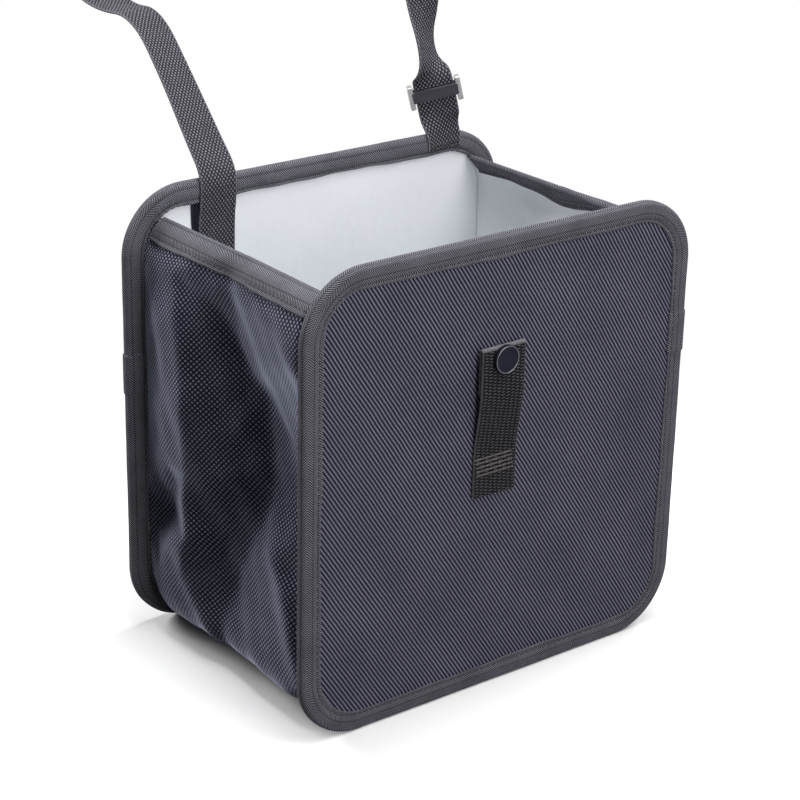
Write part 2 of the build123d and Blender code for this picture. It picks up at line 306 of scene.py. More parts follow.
def twill():
    """Dark navy cloth with lighter diagonal ribs, each a row of beads."""
    rib_angle, rib_pitch = math.radians(33.8), 1.66
    bead_pitch, bead_shift = 1.25, 0.37
    dark, light = (0.0085, 0.0092, 0.021), (0.200, 0.195, 0.248)
    s = Shader("panel_twill")
    u, v = s.cloth()
    ribs = s.across(u, v, rib_angle, rib_pitch)
    sway = s.product(s.noise(0.05), 0.5)
    rib = s.step(s.wave(ribs, sway), low=0.25, high=1.0)
    along = s.across(u, v, rib_angle + math.pi / 2, bead_pitch)
    shift = s.product(s.math("FLOOR", ribs), bead_shift)
    beads = s.wave(along, shift)
    yarn = s.product(rib, s.between(beads, 0.7, 1.0))
    worn = s.uneven(scale=0.03, detail=4.0, low=0.6, high=1.4)
    fleck = s.uneven(scale=0.8, detail=2.0, low=0.7, high=1.3)
    colour = s.mix(s.product(yarn, worn, fleck), dark, light)
    s.bump(yarn, distance=0.18, strength=0.7)
    return s.finish(colour, s.between(yarn, 0.75, 0.5), {"Specular IOR Level": 0.1})


def oxford():
    """Dark navy gusset cloth, whose floats make a lattice of pale dots."""
    warp_angle, warp_pitch = math.radians(40), 1.75
    weft_angle, weft_pitch = math.radians(128), 1.9
    dark, light = (0.009, 0.011, 0.025), (0.245, 0.241, 0.306)
    s = Shader("gusset_oxford")
    u, v = s.cloth()
    sway = s.product(s.noise(0.04), 0.5)
    warp = s.wave(s.across(u, v, warp_angle, warp_pitch), sway)
    weft = s.wave(s.across(u, v, weft_angle, weft_pitch), sway)
    dots = s.step(s.product(warp, weft), low=0.08, high=0.75)
    worn = s.uneven(scale=0.03, detail=4.0, low=0.65, high=1.35)
    fleck = s.uneven(scale=0.9, detail=2.0, low=0.7, high=1.3)
    colour = s.mix(s.product(dots, worn, fleck), dark, light)
    s.bump(dots, distance=0.32, strength=0.8)
    settings = {
        "Specular IOR Level": 0.01, "Specular Tint": (0.80, 0.85, 1, 1),
        "Sheen Weight": 1.0, "Sheen Roughness": 0.32, "Sheen Tint": (0.75, 0.8, 1, 1),
    }
    return s.finish(colour, s.between(dots, 0.6, 0.4), settings)


def herringbone():
    """Charcoal binding tape with narrow chevrons along it."""
    column, slant, pitch = 2.9, 0.95, 1.15
    dark, light = (0.0158, 0.0158, 0.0205), (0.226, 0.224, 0.258)
    s = Shader("binding_herringbone")
    u, v = s.cloth()
    zigzag = s.math("PINGPONG", v, column)
    turns = s.math("DIVIDE", s.math("MULTIPLY_ADD", zigzag, slant, u), pitch)
    sway = s.product(s.noise(0.12), 0.8)
    line = s.step(s.wave(turns, sway), low=0.25, high=0.95)
    spine = s.step(zigzag, low=0.0, high=0.6)
    yarn = s.product(line, s.between(spine, 0.45, 1.0))
    fuzz = s.noise(1.4, 3.0)
    fleck = s.between(fuzz, 0.4, 1.6)
    worn = s.uneven(scale=0.08, detail=4.0, low=0.5, high=1.5)
    colour = s.mix(s.product(yarn, fleck, worn), dark, light)
    s.bump(s.math("MULTIPLY_ADD", fuzz, 0.5, yarn), distance=0.16, strength=0.8)
    return s.finish(colour, 0.85, {"Specular IOR Level": 0.08})


def film():
    """Pale waterproof lining film with a soft sheen."""
    cool, pale = (0.70, 0.72, 0.755), (0.78, 0.795, 0.82)
    s = Shader("lining_film")
    grain = s.noise(0.9, 3.0)
    crinkle = s.noise(0.09, 3.0)
    colour = s.mix(s.noise(0.025, 3.0), cool, pale)
    s.bump(s.math("MULTIPLY_ADD", grain, 0.12, crinkle), distance=0.9, strength=0.35)
    return s.finish(colour, s.between(grain, 0.36, 0.5), {"Specular IOR Level": 0.4})


def webbing(name, width, dark, light, across_pitch, along_pitch, weave, selvedge, painted_highlight_at=()):
    """Woven webbing: floats in staggered rows, selvedges, and a pale band of painted highlight at places
    along it.
    """
    s = Shader(name)
    u, v = s.cloth()
    sway = s.product(s.noise(0.25), 0.35)
    crossing = s.math("ADD", s.math("DIVIDE", u, across_pitch), sway)
    rows = s.math("DIVIDE", v, along_pitch)
    rising = s.wave(crossing, rows)
    falling = s.wave(crossing, s.product(rows, -1))
    floats = s.step(s.product(rising, falling), low=0.1, high=0.7)
    edge = s.step(s.math("ABSOLUTE", u), low=width / 2 - 1.1, high=width / 2 - 0.3)
    height = s.math("MAXIMUM", s.product(floats, weave), s.product(edge, selvedge))
    # Painted highlight: a pale band across the webbing at each place given, as on the top of a fold.
    for place in painted_highlight_at:
        away = s.math("ABSOLUTE", s.math("SUBTRACT", v, place))
        height = s.math("MAXIMUM", height, s.step(away, low=1.9, high=0.5))
    fuzz = s.noise(1.3, 3.0)
    fleck = s.between(fuzz, 0.25, 1.75)
    worn = s.uneven(scale=0.1, detail=3.0, low=0.7, high=1.3)
    colour = s.mix(s.product(height, fleck, worn), dark, light)
    s.bump(s.math("MULTIPLY_ADD", fuzz, 0.3, height), distance=0.25, strength=0.8)
    return s.finish(colour, 0.8, {"Specular IOR Level": 0.08})


def thread(name, colour):
    """Twisted sewing thread."""
    s = Shader(name)
    darker = tuple(0.6 * part for part in colour)
    lighter = tuple(1.4 * part for part in colour)
    return s.finish(s.mix(s.noise(900, uv=False), darker, lighter), 0.7)


def hard(name, dark, light, roughness, metallic=1.0, specular=0.5):
    """Metal, paint or board with faint handling marks."""
    s = Shader(name)
    smear = s.noise(70, 3.0, stretch=(1, 1, 3), uv=False)
    colour = s.mix(smear, dark, light)
    rough = s.between(smear, roughness * 0.8, roughness * 1.3)
    s.bump(s.noise(250, uv=False), distance=0.01, strength=0.3)
    return s.finish(colour, rough, {"Metallic": metallic, "Specular IOR Level": specular})


PANEL = twill()
GUSSET = oxford()
BINDING = herringbone()
LINING = film()
STRAP = webbing(
    "strap_webbing", STRAP_WIDTH, (0.019, 0.019, 0.024), (0.186, 0.185, 0.206),
    across_pitch=1.95, along_pitch=2.6, weave=1.0, selvedge=0.5,
)
# Near-black webbing for the narrow strip beside the strap's left root.
DARK_STRIP = webbing(
    "strap_dark_strip", DARK_STRIP_WIDTH, (0.006, 0.007, 0.012), (0.022, 0.024, 0.036),
    across_pitch=1.7, along_pitch=2.3, weave=1.0, selvedge=0.8,
)
# The tab webbing carries a painted highlight: a pale band over the top of its fold.
TAB = webbing(
    "tab_webbing", TAB_WIDTH, (0.006, 0.006, 0.0075), (0.152, 0.147, 0.157),
    across_pitch=5.2, along_pitch=1.5, weave=0.48, selvedge=0.42, painted_highlight_at=(TAB_FOLD_AT,),
)
DARK_THREAD = thread("binding_thread", (0.018, 0.018, 0.02))
TAB_THREAD = thread("tab_thread", (0.085, 0.072, 0.070))
PLATED = hard("slider_plated", (0.40, 0.39, 0.38), (0.56, 0.55, 0.53), roughness=0.24)
CAP_RIM = hard("snap_cap_rim", (0.10, 0.10, 0.11), (0.16, 0.16, 0.17), roughness=0.22)
SNAP_STEEL = hard("snap_steel", (0.42, 0.42, 0.43), (0.56, 0.56, 0.56), roughness=0.3)
SLIDER_BAR = hard(
    "slider_bar", (0.035, 0.034, 0.042), (0.055, 0.054, 0.064), roughness=0.4, metallic=0.0, specular=0.15,
)
CAP = hard(
    "snap_cap_paint", (0.01, 0.011, 0.019), (0.017, 0.019, 0.03), roughness=0.3, metallic=0.0, specular=0.05,
)
BOARD = hard(
    "panel_board", (0.10, 0.10, 0.10), (0.14, 0.14, 0.14), roughness=0.7, metallic=0.0, specular=0.2,
)


# Panels and linings

# Rings of a panel's sheet, as shares of the way from its middle to its edge, closer by the binding
SHEET_RINGS = np.concatenate([[0], np.linspace(0.02, 0.8, 34), np.linspace(0.81, 1, 22)])
SHEET_COLUMNS = 281


def edge_at(distance):
    """Places on a panel's outline, by distance from the foot of its right side, and the way out there."""
    distance = np.asarray(distance, float) % PERIMETER
    turn = (distance // QUARTER).astype(int)
    along = distance - turn * QUARTER
    angle = np.clip((along - SIDE) / CORNER_BEND, 0, 1) * math.pi / 2
    x = CORNER_X + CORNER * np.cos(angle)
    z = np.minimum(along, SIDE) - CORNER_X + CORNER * np.sin(angle)
    around = turn * math.pi / 2
    facing = angle + around
    turned_x = x * np.cos(around) - z * np.sin(around)
    turned_z = x * np.sin(around) + z * np.cos(around)
    return turned_x, turned_z + HEIGHT / 2, np.cos(facing), np.sin(facing)


def add_sheet(name, node, face_y, outward, lift, thickness, material, slot):
    """One layer of a panel: a thin closed sheet, lifted off its plane by a function of x, z and inset."""
    edge_x, edge_z, out_x, out_z = edge_at(np.linspace(0, PERIMETER, SHEET_COLUMNS))
    inset = TAPE + SEAT_GAP
    x = SHEET_RINGS[:, None] * (edge_x - out_x * inset)
    z = SHEET_RINGS[:, None] * (edge_z - out_z * inset - HEIGHT / 2)
    inset_here = HALF_WIDTH - np.maximum(np.abs(x), np.abs(z))
    y = face_y + outward * lift(x, z, inset_here)
    outer = np.stack([x, y, z + HEIGHT / 2], -1)
    inner = outer[::-1].copy()
    inner[..., 1] = face_y - outward * thickness
    points = np.concatenate([outer, inner])
    piece = add_grid(name, points, points[..., [0, 2]], material, "bin", flip=outward < 0)
    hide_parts(node)


def panel_lift(seed):
    """Cloth that swells a little beside its binding and wanders off flat between."""
    swell_height, swell_inset = 0.22, 14
    waves_across = ((150, 0.10), (83, 0.06))
    waves_up = ((120, 0.10), (61, 0.05))

    def lift(x, z, inset):
        swell = swell_height * bump_at(inset, swell_inset, 4) * smooth(9, 12, inset)
        drift = ripple(x + 0.4 * z, seed, waves_across) + ripple(z - 0.3 * x, seed + 1, waves_up)
        return swell + drift * smooth(10, 30, inset)

    return lift


def lining_lift(seed):
    """Film with a few slack waves."""
    slack = 0.45
    waves_across = ((96, 0.22), (47, 0.12))
    waves_up = ((110, 0.2), (52, 0.1))

    def lift(x, z, inset):
        waves = ripple(x + 0.25 * z, seed, waves_across) + ripple(z + 0.2 * x, seed + 1, waves_up)
        return (slack + waves) * smooth(9, 26, inset)

    return lift


# Binding tape and stitches


def tape_section():
    """Binding tape across, as inset and depth, with the way each point faces and its distance across."""
    fold_radius = 2.0
    hem = ((-0.6, 0.75), (0, 0.6), (0.1, 0.3), (-0.1, 0.08))
    flat = np.linspace(COVER - 0.3, fold_radius + 0.2, 20)
    turn = np.linspace(0, math.pi / 2, 8)
    half = [(COVER + inset, deep) for inset, deep in hem]
    half += [(inset, 0.0) for inset in flat]
    half += [(fold_radius * (1 - math.sin(a)), fold_radius * (1 - math.cos(a))) for a in turn]
    section = np.array(half + [(0, EDGE / 2)] + [(inset, EDGE - deep) for inset, deep in reversed(half)])
    ahead = np.gradient(section, axis=0)
    facing = np.stack([-ahead[:, 1], ahead[:, 0]], 1)
    return section, facing / np.linalg.norm(facing, axis=1)[:, None], run_along(section)


def tape_points(distance, face, inward, swell, seed):
    """Points of the binding tape at distances along the edge, swollen outwards by a height for each."""
    groove_depth, tug_depth = 0.35, 0.12
    pillow_inset, pillow_height = 5.2, 0.22
    pucker_pitch, pucker_height = 4.8, 0.2
    corner_middle = 181
    section, facing, across = tape_section()
    inset, deep = section.T
    x, z, out_x, out_z = (part[:, None] for part in edge_at(distance))
    along = distance[:, None]
    on_face = smooth(1.5, 3.5, inset)
    at_corner = smooth(30, 18, np.abs(along % QUARTER - corner_middle))
    wander = ripple(along, seed, ((140, 0.12), (61, 0.09), (23, 0.05)))
    groove = -groove_depth * bump_at(inset, SEAM_INSET, 0.7) * on_face
    pillow = pillow_height * bump_at(inset, pillow_inset, 2.2) * on_face
    pull = np.cos(math.tau * along / STITCH_PITCH)
    tug = -tug_depth * pull * bump_at(inset, SEAM_INSET, 1.6) * on_face
    gather = np.sin(math.tau * along / pucker_pitch)
    pucker = pucker_height * gather * at_corner * smooth(3, COVER, inset)
    off = swell[:, None] + groove + pillow + tug + pucker + 0.5 * wander
    inset = inset + facing[:, 0] * off + 2.5 * wander * smooth(COVER - 3, COVER, inset)
    deep = deep + facing[:, 1] * off
    points = np.stack([x - out_x * inset, face + inward * deep, z - out_z * inset], -1)
    uv = np.stack([along + 0 * inset, across + 0 * inset], -1)
    return points, uv


def add_stitches(name, middles, aheads, faces, length, radius, material):
    """Single stitches that dip into the cloth, by their middles and the ways ahead and off the cloth."""
    shares = np.array([-0.5, -0.36, 0, 0.36, 0.5])
    lifts = np.array([-1.0, 0.25, 0.75, 0.25, -1.0]) * radius
    angles = np.linspace(0, math.tau, 7)[:-1]
    parts = np.broadcast_arrays(middles, aheads, faces)
    middles, aheads, faces = (np.asarray(part, float)[:, None] for part in parts)
    sides = np.cross(aheads, faces)
    spine = middles + aheads * (shares * length)[:, None] + faces * lifts[:, None]
    around = sides * np.cos(angles)[:, None] + faces * np.sin(angles)[:, None]
    points = (spine[:, :, None] + radius * around[:, None]).reshape(-1, 3)
    quads = []
    count = len(angles)
    for stitch in range(len(middles)):
        for ring in range(len(shares) - 1):
            base = (stitch * len(shares) + ring) * count
            for k in range(count):
                after = (k + 1) % count
                quads.append((base + k, base + after, base + count + after, base + count + k))
    add_mesh(name, points, quads, material, "bin")


def add_seam(name, rows):
    """A binding's stitches, from rows of middles with the ways ahead and off the cloth."""
    parts = zip(*(np.broadcast_arrays(*row) for row in rows))
    middles, aheads, faces = (np.concatenate(part) for part in parts)
    add_stitches(name, middles, aheads, faces, STITCH_LENGTH, STITCH_RADIUS, DARK_THREAD)


def add_binding(name, node, face, inward, lap_low, seed):
    """Tape folded round a panel's edge, with its lapped end and its two stitched seams."""
    tape_rows, lap_rows = 590, 14
    weave_shift = 41.3
    stitch_depth = 0.3
    flip = inward > 0
    lap_high = lap_low + LAP_LENGTH
    seam = (lap_low + lap_high) / 2
    distance = np.linspace(seam, seam + PERIMETER, tape_rows)
    points, uv = tape_points(distance, face, inward, np.zeros_like(distance), seed)
    piece = add_grid(name, points, uv, BINDING, "bin", flip)
    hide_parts(node)

    steps = np.array([0, 0.05, 0.3])
    rises = np.array([-0.1, 0.2, 0.45])
    flat = np.linspace(lap_low + 1, lap_high - 1, lap_rows)
    distance = np.concatenate([lap_low + steps, flat, lap_high - steps[::-1]])
    swell = np.concatenate([rises, np.full(lap_rows, LAP_RISE), rises[::-1]])
    points, uv = tape_points(distance, face, inward, swell, seed)
    uv[..., 0] += weave_shift
    add_grid(name + "_lap", points, uv, BINDING, "bin", flip)

    spots = np.arange(0, PERIMETER - STITCH_PITCH / 2, STITCH_PITCH)
    x, z, out_x, out_z = edge_at(spots)
    zeros = np.zeros_like(x)
    raised = np.where((spots > lap_low) & (spots < lap_high), LAP_RISE, 0)
    rows = []
    for depth, out in ((stitch_depth - raised, -inward), (EDGE - stitch_depth + raised, inward)):
        rows.append((
            np.stack([x - out_x * SEAM_INSET, face + inward * depth, z - out_z * SEAM_INSET], 1),
            np.stack([-out_z, zeros, out_x], 1),
            (0, out, 0),
        ))
    add_seam(name + "_stitches", rows)


# Gusset

# Folds of the gusset's side: distance front to back, height up the cloth, and how far it lies in
FOLDS = {
    "rim_front": (-66, 209, 0), "rim_middle": (3, 209, -1), "rim_back": (72, 209, 0),
    "front_high": (-66, 188, 0), "front_middle": (-66, 128, 0), "front_low": (-66, 60, 0),
    "front_foot": (-66, 20, 0), "front_end": (-66, -4, 0), "foot_end": (3, -4, 0.3),
    "back_high": (72, 188, 0), "back_middle": (72, 120, 0), "back_low": (72, 70, 0),
    "back_pinch": (72, 45, 0), "back_foot": (72, 10, 0), "back_end": (72, -4, 0),
    "front_flap": (-60, 199, -6.5), "front_flap_2": (-59, 174, -6),
    "valley_1": (13, 176, 5), "valley_2": (5, 164, 8), "valley_3": (-2, 153, 10),
    "valley_4": (-11.5, 145.5, 11.3), "valley_5": (-31, 131, 11),
    "hollow_1": (-16, 115, 12.7), "hollow_2": (-14, 94, 12.3),
    "ridge_1": (53, 204, -1), "ridge_2": (43, 190, -3.5), "ridge_3": (35.5, 160, -6.5),
    "ridge_4": (31, 127, -7.2), "ridge_5": (32, 97, -6.5), "ridge_6": (34, 78, -5.5),
    "ridge_7": (32.5, 62, -6), "ridge_8": (39, 41, -4),
    "middle_1": (8, 120, 1.5), "middle_2": (2, 102, 4.5),
    "apex": (-6.5, 79, 9.5), "spur_1": (-25.5, 73.5, 3.5), "spur_2": (-37, 62, 1),
    "spur_3": (-44.5, 46, -0.5), "spur_4": (-52, 24, -0.5),
    "cheek_1": (-50, 68, 6), "cheek_2": (-55, 46, 4), "cheek_3": (-50, 131, 7.5),
    "cheek_4": (-49, 101, 10),
    "brow_1": (55, 188, -2.6), "brow_2": (50, 160, -5.6), "brow_3": (48.5, 127, -6.3),
    "brow_4": (48, 108, -5.7),
    "furrow_1": (4.7, 50, 7.5), "furrow_2": (12, 31, 5.5), "furrow_3": (14, 8, 2.5),
    "crease_1": (8, 71, 6.5), "crease_2": (20, 57, 3), "crease_3": (69, 12, 0),
    "pinch_1": (45, 85, -0.5), "pinch_2": (56, 66, 5), "pinch_3": (66, 51, 1.5),
    "lip_1": (47, 96, -5), "lip_2": (61, 82, -2.6), "bulge_1": (47, 55, -6), "bulge_2": (57, 36, -3.5),
}
CREASES = (
    ("valley_1", "valley_2", "valley_3", "valley_4", "valley_5", "hollow_1", "hollow_2"),
    ("ridge_1", "ridge_2", "ridge_3", "ridge_4", "ridge_5", "ridge_6", "ridge_7", "ridge_8", "crease_3"),
    ("apex", "spur_1", "spur_2", "spur_3", "spur_4"),
    ("apex", "furrow_1", "furrow_2", "furrow_3"),
    ("apex", "crease_1", "crease_2", "ridge_8"),
    ("ridge_5", "pinch_1", "pinch_2", "pinch_3"),
    ("valley_4", "middle_2", "apex"),
)
FOLDS_END = -4
WALL_ROWS = 321
WALL_COLUMNS = 79


def fold_depth(y, height):
    """How far in the folded cloth lies at each place, flat between its creases."""
    names = list(FOLDS)
    flat = [Vector(FOLDS[name][:2]) for name in names]
    edges = [(names.index(a), names.index(b)) for line in CREASES for a, b in zip(line, line[1:])]
    corners, _, triangles, sources = geometry.delaunay_2d_cdt(flat, edges, [], 0, 1e-4)[:4]
    depths = [FOLDS[names[source[0]]][2] for source in sources]
    depth = np.zeros_like(y)
    for triangle in triangles:
        a, b, c = (corners[k] for k in triangle)
        depth_a, depth_b, depth_c = (depths[k] for k in triangle)
        area = (b - a).cross(c - a)
        share_b = ((y - a.x) * (c.y - a.y) - (height - a.y) * (c.x - a.x)) / area
        share_c = ((b.x - a.x) * (height - a.y) - (b.y - a.y) * (y - a.x)) / area
        share_a = 1 - share_b - share_c
        inside = (share_a >= -1e-6) & (share_b >= -1e-6) & (share_c >= -1e-6)
        depth = np.where(inside, share_a * depth_a + share_b * depth_b + share_c * depth_c, depth)
    return depth


def soften(grid, times):
    """Rounds the creases of a grid of depths, whose border stays."""
    for _ in range(times):
        inner = 0.25 * (grid[:-2, 1:-1] + grid[2:, 1:-1] + grid[1:-1, :-2] + grid[1:-1, 2:])
        grid[1:-1, 1:-1] = 0.5 * grid[1:-1, 1:-1] + 0.5 * inner
    return grid


def wall_path(distance):
    """Places along the gusset from the left rim to the right, as x, z and the direction into the bin."""
    mirrored = distance > WALL_LENGTH / 2
    near = np.where(mirrored, WALL_LENGTH - distance, distance)
    rim_turn = RIM_ANGLE - np.minimum(near, RIM_BEND) / WALL_RADIUS
    down = np.clip(near - RIM_BEND, 0, SIDE)
    foot_turn = np.clip((near - RIM_BEND - SIDE) / WALL_RADIUS, 0, math.pi / 2)
    under = np.maximum(near - RIM_BEND - SIDE - FOOT_BEND, 0)
    turn = np.where(near < RIM_BEND, rim_turn, -foot_turn)
    x = -CORNER_X - WALL_RADIUS * np.cos(turn) + under
    z = TOP_CORNER_Z - down + WALL_RADIUS * np.sin(turn)
    side = np.where(mirrored, -1, 1)
    return side * x, z, side * np.cos(turn), -np.sin(turn)


wall_distance = np.linspace(0, WALL_LENGTH, WALL_ROWS)
wall_y = np.linspace(FRONT_END, BACK_END, WALL_COLUMNS)
cloth_y, cloth_along = np.meshgrid(wall_y, wall_distance)
near_rim = np.minimum(cloth_along, WALL_LENGTH - cloth_along)
cloth_height = TOP_CORNER_Z + RIM_BEND - near_rim


def off_seams(front_reach, back_reach):
    """0 at the gusset's seams and 1 from that far off the front and the back one."""
    front = smooth(FRONT_END, FRONT_END + front_reach, cloth_y)
    return front * smooth(BACK_END, BACK_END - back_reach, cloth_y)


# 1 where the gusset hangs free of its seams and its rim
free_cloth = off_seams(14, 14) * smooth(0, 16, near_rim)


def gusset_depth():
    """How far in the gusset's cloth lies: folded sides, full lower corners, sagging bottom and slack."""
    bottom_sag, half_bottom = 1.6, 69
    fullness, full_height, full_spread = 6.5, 12, 13
    waves_across = ((37, 0.30), (19, 0.14))
    waves_along = ((43, 0.30), (23, 0.15))
    folded = fold_depth(cloth_y, np.maximum(cloth_height, FOLDS_END))
    under = smooth(FOLDS_END, -40, cloth_height)
    sag = bottom_sag * under * (1 - ((cloth_y - MIDDLE_Y) / half_bottom) ** 2)
    full_corner = fullness * bump_at(cloth_height, full_height, full_spread) * off_seams(26, 20)
    slack = ripple(cloth_y + 0.5 * cloth_along, 21, waves_across)
    slack += ripple(cloth_along - 0.6 * cloth_y, 22, waves_along)
    return soften(folded - np.maximum(sag, 0) - full_corner, 3) + slack * free_cloth


wall_depth = gusset_depth()


def wall_points(depth):
    """Points of the gusset, each lying in by its depth."""
    x, z, in_x, in_z = (part[:, None] for part in wall_path(wall_distance))
    return np.stack([x + in_x * depth, wall_y + 0 * depth, z + in_z * depth], -1)


def depth_at(distance):
    """The gusset's depths from front to back, at one distance along it."""
    place = distance / WALL_LENGTH * (WALL_ROWS - 1)
    low = min(int(place), WALL_ROWS - 2)
    share = place - low
    return wall_depth[low] * (1 - share) + wall_depth[low + 1] * share


def add_gusset():
    """The gusset's cloth and, inside it, its lining film."""
    film_inset, film_slack = 1.3, 0.45
    waves_across = ((51, 0.3), (24, 0.15))
    waves_along = ((64, 0.3), (29, 0.15))
    uv = np.stack([cloth_y, cloth_height], -1)
    cloth = add_grid("gusset_cloth", wall_points(wall_depth), uv, GUSSET, "bin", True)
    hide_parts("gusset_fabric")
    waves = ripple(cloth_y + 0.2 * cloth_along, 31, waves_across) + ripple(cloth_along, 32, waves_along)
    inner = wall_depth + film_inset + (film_slack + waves) * free_cloth * smooth(11, 30, near_rim)
    liner = add_grid("gusset_lining_film", wall_points(inner), uv, LINING, "bin")
    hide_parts("gusset_lining")


def rim_section(cover, stand):
    """Rim tape across, as distance down the cloth and depth from its outer face."""
    outer = -stand
    inner = WALL_LAYERS + stand
    hem = [(cover - 0.5, -0.1), (cover, -0.35), (cover + 0.1, -0.7), (cover - 0.2, outer)]
    down = np.linspace(cover - 0.6, 0.4, 18)
    turn = np.linspace(0, math.pi, 9)
    middle = (outer + inner) / 2
    radius = (inner - outer) / 2
    section = hem + [(s, outer) for s in down]
    section += [(-radius * math.sin(a), middle - radius * math.cos(a)) for a in turn]
    section += [(s, inner) for s in down[::-1]]
    section += [(s, WALL_LAYERS - off) for s, off in reversed(hem)]
    return np.array(section)


def add_rim(name, node, right_side, seed):
    """Tape folded over the top edge of one side of the gusset, with its stitched seam."""
    cover, stand = 11, 0.95
    seam, groove_depth = 9.0, 0.4
    pillow_down, pillow_height = 4.2, 0.25
    stitch_depth = 0.35
    seam_end = EDGE + 2
    within_bindings = slice(2, -2)

    def from_rim(down):
        return WALL_LENGTH - down if right_side else down

    section = rim_section(cover, stand)
    down, deep = section.T
    outwards = np.where(deep < WALL_LAYERS / 2, -1, 1)
    relief = pillow_height * bump_at(down, pillow_down, 1.9) - groove_depth * bump_at(down, seam, 0.8)
    off = deep + outwards * relief * smooth(0.5, 2.5, down)
    wander = ripple(wall_y, seed, ((88, 0.35), (37, 0.2), (15, 0.1)))
    down_cloth = down[:, None] + wander * smooth(5, cover, down)[:, None]
    rows = []
    for row, away in zip(down_cloth, off):
        x, z, in_x, in_z = wall_path(from_rim(row))
        depth = depth_at(from_rim(max(row.mean(), 0))) + away
        rows.append(np.stack([x + in_x * depth, wall_y, z + in_z * depth], -1))
    points = np.array(rows)[:, within_bindings]
    uv = np.stack([wall_y + 0 * down_cloth, run_along(section)[:, None] + 0 * down_cloth], -1)
    piece = add_grid(name, points, uv[:, within_bindings], BINDING, "bin", right_side)
    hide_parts(node)

    place_y = np.arange(FRONT_FACE + seam_end, BACK_FACE - seam_end, STITCH_PITCH)
    x, z, in_x, in_z = wall_path(from_rim(seam))
    seam_depth = np.interp(place_y, wall_y, depth_at(from_rim(seam)))
    rows = []
    for away, out in ((stitch_depth - stand, -1), (WALL_LAYERS + stand - stitch_depth, 1)):
        depth = seam_depth + away
        rows.append((
            np.stack([x + in_x * depth, place_y, z + in_z * depth], 1),
            (0, 1, 0),
            (out * in_x, 0, out * in_z),
        ))
    add_seam(name + "_stitches", rows)


# Straps


def ribbon(name, centres, sides, width, thickness, material, body):
    """Webbing along a line of points, flat across each side direction, with soft edges."""
    centres = np.asarray(centres, float)
    ahead = np.gradient(centres, axis=0)
    ahead /= np.linalg.norm(ahead, axis=1)[:, None]
    sides = sides - ahead * (np.asarray(sides) * ahead).sum(1)[:, None]
    sides /= np.linalg.norm(sides, axis=1)[:, None]
    off_face = np.cross(sides, ahead)
    edge = thickness / 2
    flat_end = width / 2 - edge
    turn = np.linspace(-math.pi / 2, math.pi / 2, 7)
    flat = np.linspace(-flat_end, flat_end, 15)[1:-1]
    section = [(flat_end + edge * math.cos(a), edge * math.sin(a)) for a in turn]
    section += [(u, edge) for u in flat[::-1]]
    section += [(-flat_end - edge * math.cos(a), -edge * math.sin(a)) for a in -turn[::-1]]
    section += [(u, -edge) for u in flat] + [section[0]]
    shape = np.array(section)[None] + 0 * centres[:, None, :2]
    points = centres[:, None] + sides[:, None] * shape[..., :1] + off_face[:, None] * shape[..., 1:]
    uv = np.stack([shape[..., 0], run_along(centres)[:, None] + 0 * shape[..., 0]], -1)
    count = len(section)
    faces = grid_faces(len(centres), count)
    faces.append(list(range(count - 1)))
    last = (len(centres) - 1) * count
    faces.append([last + k for k in reversed(range(count - 1))])
    return add_mesh(name, points.reshape(-1, 3), faces, material, body, uv.reshape(-1, 2))


def spline_points(controls):
    """Points read from a smooth spline with those control points."""
    data = bpy.data.curves.new("route", "CURVE")
    data.dimensions = "3D"
    data.resolution_u = 14
    spline = data.splines.new("NURBS")
    spline.points.add(len(controls) - 1)
    for point, place in zip(spline.points, controls):
        point.co = (*place, 1)
    spline.order_u = 3
    spline.use_endpoint_u = True
    holder = bpy.data.objects.new("route", data)
    mesh = bpy.data.meshes.new_from_object(holder)
    points = np.array([v.co for v in mesh.vertices])
    bpy.data.objects.remove(holder)
    bpy.data.curves.remove(data)
    bpy.data.meshes.remove(mesh)
    return points


def turned(degrees):
    """The direction across the strap where it is turned that far about the vertical."""
    return (math.cos(math.radians(degrees)), math.sin(math.radians(degrees)), 0)


# The strap's control points in metres and the direction across it, from the left root to the right one
STRAP_ROUTE = (
    ((-0.060, 0.0715, 0.158), turned(180)),
    ((-0.060, 0.0715, 0.199), turned(180)),
    ((-0.060, 0.0697, 0.2075), turned(180)),
    ((-0.060, 0.0690, 0.2225), turned(180)),
    ((-0.060, 0.08085, 0.2345), turned(184)),
    ((-0.060, 0.10285, 0.259), turned(194)),
    ((-0.060, 0.12985, 0.2855), turned(196)),
    ((-0.060, 0.15985, 0.282), turned(188)),
    ((-0.058, 0.18785, 0.290), (-0.9, 0, -0.45)),
    ((-0.042, 0.21385, 0.303), (-0.4, -0.2, -0.9)),
    ((-0.012, 0.22585, 0.310), (0, 0, -1)),
    ((0.022, 0.22185, 0.315), (0, 0, -1)),
    ((0.045, 0.19985, 0.319), (0.2, 0, -1)),
    ((0.052, 0.16785, 0.322), (0.7, 0, -0.7)),
    ((0.052, 0.13385, 0.325), turned(0)),
    ((0.052, 0.10385, 0.328), turned(0)),
    ((0.0535, 0.07885, 0.322), turned(-10)),
    ((0.0595, 0.07335, 0.300), turned(-14)),
    ((0.061, 0.07305, 0.284), turned(6)),
    ((0.062, 0.07235, 0.269), turned(33)),
    ((0.0642, 0.07145, 0.2555), turned(28)),
    ((0.06603, 0.07127, 0.249), turned(-30)),
    ((0.06778, 0.07093, 0.242), turned(-30)),
    ((0.06914, 0.07066, 0.2365), turned(-30)),
    ((0.07076, 0.07034, 0.230), turned(-30)),
    ((0.07226, 0.07004, 0.224), turned(0)),
    ((0.074, 0.0697, 0.217), turned(0)),
    ((0.074, 0.0697, 0.2125), turned(0)),
)

# The slider's place on the strap's right strand, the strand's direction there, and its turn
SLIDER_CENTRE = (67.9, 70.9, 241.5)
SLIDER_AHEAD = (-0.249, 0.049, 1)
SLIDER_TURN = -30

